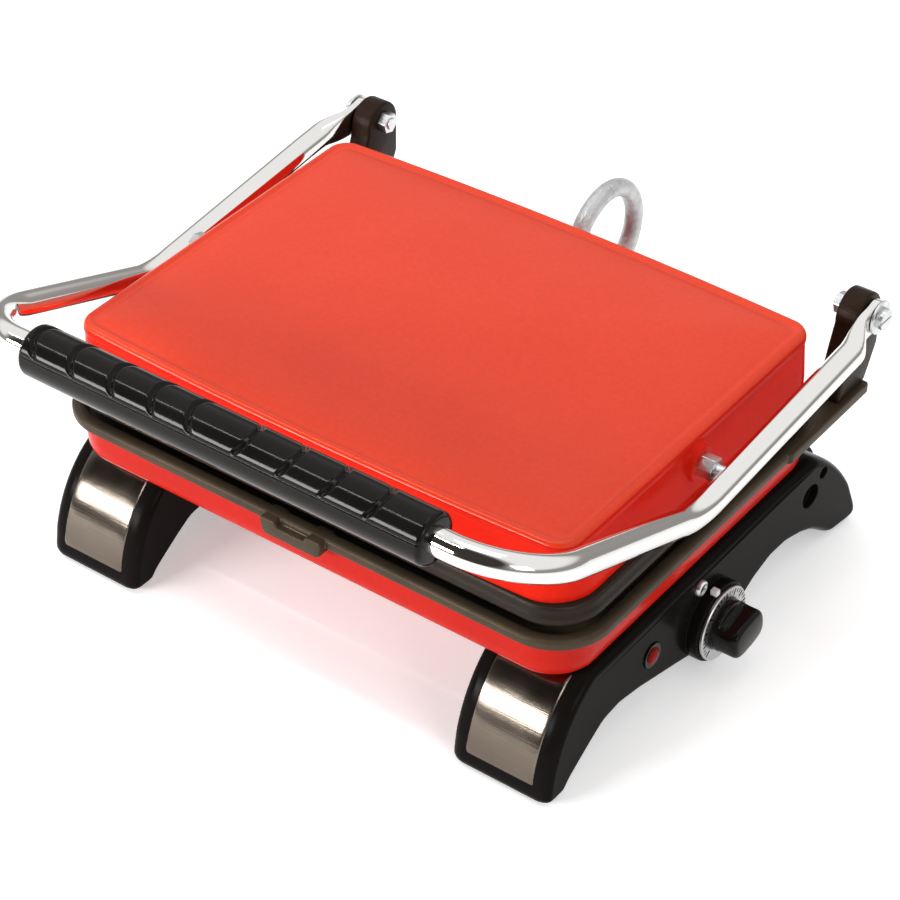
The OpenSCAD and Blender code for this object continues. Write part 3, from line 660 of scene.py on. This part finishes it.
def legs():
    boss = lathe([(146, 12), (146.5, 20.6), (153.6, 20.6), (154.6, 20.2), (155.0, 19.4), (155.0, 13.4),
                  (152.0, 13.0), (152.0, 5.0), (146.2, 5.0)], CTL_Y, CTL_Z)
    right = piece("leg_right_body", merged(leg_solid(), boss), "black_bakelite", "base", ("leg_right",),
                  look="leg_black")
    # two blind marks at the rear, the seat of the lamp and the bore of the cable gland
    holes = [lathe([(LEG_OUT - 2.5, 6.5), (LEG_OUT + 2, 6.6)], 96, 39, 32),
             lathe([(LEG_OUT - 2.5, 3.2), (LEG_OUT + 2, 3.3)], 106, 47.5, 24),
             lathe([(LEG_OUT - 1.2, 6.7), (LEG_OUT + 2, 6.7)], LAMP_Y, LAMP_Z, 32),
             across(lathe([(116, 5.7), (160, 5.7)], GLAND_X, GLAND_Z, 40), (1, 0, 2))]
    carve(right, merged(*holes))
    left = piece("leg_left_body", mirrored(leg_solid()), "black_bakelite", "base", ("leg_left",),
                 look="leg_black")
    even(right)
    even(left)


def leg_trims():
    """Curved sheet plates on the front of the legs, slightly crowned, with turned-in edges."""
    rows, t_low, t_high = 26, 2 / 15, 14 / 15
    turned_in = [(103.6, -0.5), (103.6, 0.15), (104.1, 0.62), (105.0, 0.75)]
    columns = turned_in + [(105.0 + 34.0 * k / 8, 0.75) for k in range(1, 8)]
    columns += [(2 * TRIM_X - x, h) for x, h in reversed(turned_in)]
    rings = []
    for k in range(rows + 1):
        t = t_low + (t_high - t_low) * k / rows
        ahead = (bezier(NOSE, min(1, t + 0.01)) - bezier(NOSE, t - 0.01)).normalized()
        out = Vector((-ahead.y, ahead.x))
        sink = {0: 0.9, 1: 0.12}.get(min(k, rows - k), 0.0)
        here = bezier(NOSE, t)
        rings.append([(x, here.x + out.x * (h - sink), here.y + out.y * (h - sink)) for x, h in columns])
    shape = loft(rings)
    piece("trim_right", shape, "brushed_trim", "base", ("leg_right_trim",))
    piece("trim_left", mirrored(shape), "brushed_trim", "base", ("leg_left_trim",))


def foot_pads():
    """Soft-edged rubber pads under the four feet."""
    pads = []
    for y0, y1 in ((-118.2, -110.0), (121.0, 136.0)):
        corners = [(y0, LEG_IN + 9), (y1, LEG_IN + 9), (y1, LEG_OUT - 9), (y0, LEG_OUT - 9)]
        pads.append(across(slab(soft_outline(corners, 2.0, 1.0), 0.0, 2.0, 0.5, 3), (2, 1, 0)))
    both = merged(*pads)
    piece("foot_pads", merged(both, mirrored(both)), "foot_rubber", "base", ("rubber_feet",))


# ---------- handle ----------
LUG_X, LUG_HALF, LUG_END, LUG_LENGTH = 154.3, 2.25, 8.0, 43
LEFT_IN = 7.5


def handle_lug():
    """Rings of the right arm's rear end, from a flat eye round the pivot to the round tube."""
    way = Vector((0, math.cos(ANG_R), math.sin(ANG_R)))
    up = Vector((0, -math.sin(ANG_R), math.cos(ANG_R)))
    eye = Vector((0, PIVOT_Y, PIVOT_Z))
    rings = []
    for s in [7.98, 7.8, 7.2, 6.0, 4.2, 2.0, 0.0, -2.0, -4.0, *range(-7, -LUG_LENGTH, -3)]:
        t = rising(-s, 9, 22)
        w = t * t * (3 - 2 * t)
        if s > -3.5:
            high = math.sqrt(max(0.02, LUG_END ** 2 - s * s))
        else:
            high = 7.2 + (LUG_END - 7.2) * 0.3 * (1 - rising(-s, 3.5, 4))
        high += (TUBE_R - high) * w
        thick = LUG_HALF + (TUBE_R - LUG_HALF) * w
        x = LUG_X + (ARM_X - LUG_X) * w
        section = power_ring(thick, high, 2 + 5 * (1 - w))
        rings.append([tuple(eye + way * s + Vector((x + a, 0, 0)) + up * b) for a, b in section])
    return rings


def handle_tube():
    """The bar as one mesh; its left arm draws in a little toward the grip."""
    eye = (ARM_X, PIVOT_Y, PIVOT_Z)
    forward = Vector((0, -math.cos(ANG_R), -math.sin(ANG_R)))
    corners = [eye, (ARM_X, KINK_Y, KINK_Z), (ARM_X, BAR_Y, BAR_Z), (0, BAR_Y, BAR_Z)]
    path = bend(corners, [KINK_R, BEND_R], 30)
    half = [Vector(eye) + forward * LUG_LENGTH] + path[1:-1]
    tube = carried(half, power_ring(TUBE_R, TUBE_R, 2), forward, Vector((-1, 0, 0)))
    middle = [(0.0, y, z) for x, y, z in tube[-1]]
    right = loft(handle_lug() + tube + [middle])
    verts, faces = mirrored(right)
    drawn = [(x + LEFT_IN * rising(-x, 112, 35) * rising(-y, -40, 160), y, z) for x, y, z in verts]
    piece("handle_bar", merged(right, (drawn, faces)), "chrome_tube", "handle", ("handle_tube",))


# middle of each groove along the grip, and the side to which it bows
GROOVES = ((-102.5, -1), (-80.0, -1), (-56.5, -1), (-33.5, -1), (-12.5, -1), (18.0, 1), (42.0, 1),
           (65.0, 1), (88.5, 1))
GROOVE_W, GROOVE_D = 2.2, 1.8
GROOVE_MID, GROOVE_REACH = 66, 64
GRIP_END_R, GRIP_SEAM = 2.6, 0.15
GRIP_STEPS, GRIP_FACETS, BORE_FACETS = 640, 48, 24


def groove_depth(x, bearing):
    """Depth of the crescent finger grooves at x along the grip and at a bearing, in degrees, round it."""
    swing = (bearing - GROOVE_MID) / GROOVE_REACH
    if abs(swing) >= 1:
        return 0.0
    depth = 0.0
    fade = min(1.0, (1 - abs(swing)) * 4)
    bow = 1.5 - 6.5 * swing * swing * (1.4 if swing > 0 else 0.8)
    for middle, hand in GROOVES:
        shift = x - (middle + hand * bow)
        if abs(shift) < GROOVE_W:
            depth = max(depth, GROOVE_D * fade * math.cos(math.pi / 2 * shift / GROOVE_W) ** 2)
    return depth


def grip_half(name, node, first):
    """Half of the grip round the tube, over the 180 degrees from first on."""
    turn = Matrix.Rotation(-ANG_F, 3, "X")
    middle = Vector((GRIP_MID, BAR_Y, BAR_Z))

    def point(x, r, ang):
        spot = Vector((x, -r * math.cos(math.radians(ang)), r * math.sin(math.radians(ang))))
        return tuple(turn @ spot + middle)

    rings = []
    for i in range(GRIP_STEPS + 1):
        x = -GRIP_L + 2 * GRIP_L * i / GRIP_STEPS
        inset = 1 - min(1, (GRIP_L - abs(x)) / GRIP_END_R)
        r = GRIP_R - GRIP_END_R * (1 - math.sqrt(max(0.0, 1 - inset ** 2)))
        ring = []
        for k in range(GRIP_FACETS + 1):
            ang = first + 180 * k / GRIP_FACETS
            seam = GRIP_SEAM if k in (0, GRIP_FACETS) else 0.0
            depth = groove_depth(x + GRIP_MID, ang if ang < 300 else ang - 360)
            ring.append(point(x, r - depth - seam, ang))
        for k in range(BORE_FACETS, -1, -1):
            ring.append(point(x, TUBE_R + 0.05, first + 180 * k / BORE_FACETS))
        rings.append(ring)
    piece(name, loft(rings), "black_bakelite", "handle", (node,), sharp=42)


# ---------- posts, control and lamp ----------
POST_IN, POST_OUT, POST_R = 139.5, 151.5, 12


def posts():
    head = [(PIVOT_Y + POST_R * math.cos(math.radians(a)), PIVOT_Z - 2 + POST_R * math.sin(math.radians(a)))
            for a in range(188, -11, -9)]
    side_view = [(112, RIM_Z), (113.5, 96), (119, 112), (122.9, 122.0)] + head + [(146.5, 103), (137, RIM_Z)]
    radii = [1.5, 8.0, 8.0, 4.0] + [0.0] * len(head) + [6.0, 1.5]
    shape = slab(resample(fillet(side_view, radii), 1.5), POST_IN, POST_OUT, 1.4, 3)
    piece("post_right", shape, "brown_cast", "base", ("hinge_post_right",))
    piece("post_left", mirrored(shape), "brown_cast", "base", ("hinge_post_left",))


KNOB_R, KNOB_HALF, KNOB_LEAN = 12.8, 10.5, math.radians(8)
# place along X, and the bar's length and width as parts of the full ones
KNOB_BAR = ((160.0, 1.0, 1.30), (161.4, 1.0, 1.02), (163.5, 1.0, 0.90), (166.5, 1.0, 0.90),
            (169.0, 0.99, 0.98), (170.4, 0.96, 0.94), (171.2, 0.90, 0.84), (171.5, 0.80, 0.70))


def knob():
    """Round knob whose outer half is scooped away on two sides to leave a grip bar."""
    disc = lathe([(155.5, 6), (155.5, 12.3), (156.2, 12.95), (159.6, 12.95), (160.4, 12.7), (160.9, 12.0),
                  (161.0, 8.0)], CTL_Y, CTL_Z)
    rings = []
    for x, long, wide in KNOB_BAR:
        half = KNOB_HALF * wide
        reach = KNOB_R * long
        ring = []
        for k in range(72):
            t = 2 * math.pi * k / 72
            a, b = reach * math.cos(t), reach * math.sin(t)
            b = math.copysign(half * (1 - math.exp(-1.6 * abs(b) / half)), b)
            ring.append((x, CTL_Y + a * math.cos(KNOB_LEAN) - b * math.sin(KNOB_LEAN),
                         CTL_Z + a * math.sin(KNOB_LEAN) + b * math.cos(KNOB_LEAN)))
        rings.append(ring)
    piece("knob", merged(disc, loft(rings)), "black_bakelite", "knob", ("thermostat_knob",))


TICKS, TICK_STEP, TICK_FIRST = 34, 8.5, 215


def scale_ring():
    """Flat ring with a ramped edge and raised tick marks."""
    ring = lathe([(155.4, 13.2), (155.4, 18.9), (156.6, 19.0), (157.1, 18.6), (157.15, 18.0), (157.15, 13.6),
                  (156.8, 13.0), (155.4, 13.0)], CTL_Y, CTL_Z, 120, closed=True)
    piece("scale_ring", ring, "scale_metal", "knob", ("dial_ring",))
    marks = []
    for k in range(TICKS):
        ang = math.radians(TICK_FIRST - TICK_STEP * k)
        near, far, half = (14.6, 18.1, 0.42) if k % 3 == 0 else (16.2, 18.1, 0.22)
        corners = [(near, -half), (far, -half), (far, half), (near, half)]
        marks.append(loft([[(x, CTL_Y + r * math.cos(ang) - h * math.sin(ang),
                             CTL_Z + r * math.sin(ang) + h * math.cos(ang)) for r, h in corners]
                           for x in (157.0, 157.26)]))
    piece("scale_marks", merged(*marks), "black_bakelite", "knob")


def side_screw():
    """Shallow ring-headed screw above the control; a black disc in its socket is painted shade."""
    head = lathe([(148.5, 2.4), (149.0, 4.1), (150.4, 4.1), (151.3, 3.7), (151.6, 3.0), (151.5, 2.5),
                  (150.6, 2.2), (150.4, 0.3)], SCREW_Y, SCREW_Z, 40)
    piece("ring_screw", head, "steel_hardware", "base", ("leg_side_screw",))
    # a black disc inside the screw's socket: painted shade of the hollow
    socket = lathe([(150.2, 2.3), (150.7, 2.28), (150.75, 1.9), (150.75, 0.2)], SCREW_Y, SCREW_Z, 32)
    piece("ring_screw_painted_shade", socket, "black_bakelite", "base")


def lamp_lens():
    lens = lathe([(149.1, 3.2), (149.2, 4.5), (149.9, 4.4), (150.6, 3.9), (151.1, 2.7), (151.3, 1.2),
                  (151.3, 0.2)], LAMP_Y, LAMP_Z, 40)
    piece("lamp_lens", lens, "lamp_red", "base", ("indicator_lens",))


def index_mark():
    """White mark on the rim of the boss, above the scale."""
    face = [(1.6, 43.2), (4.8, 43.2), (4.8, 46.3), (1.6, 46.3)]
    mark = slab(soft_outline(face, 0.5, 0.3), 152.6, 156.2, 0.35, 3)
    piece("mark", mark, "white_mark", "base", ("index_mark",))


# ---------- hose ----------
# three arcs in a row, as in the CAD source: off the lid, over the loop and into the base
HOSE_R1, HOSE_R2, HOSE_A, HOSE_B = 8.0, 26.8, math.radians(28), math.radians(40)
LOOP_Y = 109 + (HOSE_R1 + HOSE_R2) * math.cos(HOSE_A) + math.sin(HOSE_A)
LOOP_Z = HOSE_UP + HOSE_R1 - (HOSE_R1 + HOSE_R2) * math.sin(HOSE_A) + math.cos(HOSE_A)
HOSE_R3 = (LOOP_Z - HOSE_LOW - HOSE_R2 * math.sin(HOSE_B) - math.cos(HOSE_B)) / (1 - math.sin(HOSE_B))
TAIL_Y = LOOP_Y + (HOSE_R2 - HOSE_R3) * math.cos(HOSE_B) - math.sin(HOSE_B)


def arc(y, z, r, a0, a1, steps):
    turn = [a0 + (a1 - a0) * k / steps for k in range(steps + 1)]
    return [(y + r * math.cos(t), z + r * math.sin(t)) for t in turn]


def hose_route():
    """The two lengths of the hose as centre lines: lid to crest, and crest to base."""
    quarter = math.pi / 2
    upper = [(97 + 2 * k, HOSE_UP) for k in range(6)]
    upper += arc(109, HOSE_UP + HOSE_R1, HOSE_R1, -quarter, -HOSE_A, 10)
    upper += arc(LOOP_Y, LOOP_Z, HOSE_R2, math.pi - HOSE_A, quarter, 20)
    lower = arc(LOOP_Y, LOOP_Z, HOSE_R2, quarter, -HOSE_B, 30)
    lower += arc(TAIL_Y, HOSE_LOW + HOSE_R3, HOSE_R3, -HOSE_B, -quarter, 20)
    lower += [(TAIL_Y - (TAIL_Y - 97) * k / 8, HOSE_LOW) for k in range(1, 9)]
    return [[Vector((HOSE_X, y, z)) for y, z in part] for part in (upper, lower)]


def hoses():
    upper, lower = hose_route()
    section = power_ring(HOSE_R, HOSE_R, 2, 32)
    top = piece("hose_top", loft(carried(upper, section)), "hose_grey", None, ("hose_upper",))
    low = piece("hose_bottom", loft(carried(lower, section)), "hose_grey", None, ("hose_lower",))
    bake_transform(top)
    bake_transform(low)


# ---------- carried-over CAD nodes ----------
BEVELS = {"pivot_bolts": 0.5, "pivot_nuts": 0.45, "plate_pivot_studs": 0.4, "pivot_washers": 0.25,
          "indicator_holder": 0.25}


def carried_nodes():
    """CAD nodes that nothing replaces get their materials, and small bevels where they show."""
    for name, obj in frame["nodes"].items():
        if obj.hide_render:
            continue
        obj.data.materials.clear()
        obj.data.materials.append(MATS[SLOTS[name]])
        if name in BEVELS:
            weld = obj.modifiers.new("weld", "WELD")
            weld.merge_threshold = 1e-6
            soft = obj.modifiers.new("bevel", "BEVEL")
            soft.width, soft.segments = BEVELS[name] * MM, 3
            soft.limit_method, soft.angle_limit = "ANGLE", math.radians(32)
            soft.harden_normals = True


# ---------- floor ----------
def floor():
    corners = [(sx * FLOOR_HALF, sy * FLOOR_HALF, 0) for sx, sy in ((-1, -1), (1, -1), (1, 1), (-1, 1))]
    mesh = bpy.data.meshes.new("floor")
    mesh.from_pydata(corners, [], [(0, 1, 2, 3)])
    obj = bpy.data.objects.new("floor", mesh)
    bpy.context.scene.collection.objects.link(obj)
    paper = shade("floor_paper", (0.95, 0.95, 0.95), 0.9, second=(0.94, 0.94, 0.94), patch=2.0)
    surface = paper.node_tree.nodes["Principled BSDF"]
    surface.inputs["Emission Color"].default_value = (1, 1, 1, 1)
    surface.inputs["Emission Strength"].default_value = FLOOR_GLOW
    mesh.materials.append(paper)


camera()
room()
lights()
floor()
lid()
lid_bosses()
upper_plate()
lower_plate()
base_pan()
legs()
leg_trims()
foot_pads()
handle_tube()
grip_half("grip_top", "grip_upper", 0)
grip_half("grip_bottom", "grip_lower", 180)
posts()
knob()
scale_ring()
side_screw()
lamp_lens()
index_mark()
hoses()
carried_nodes()

bpy.context.view_layer.update()
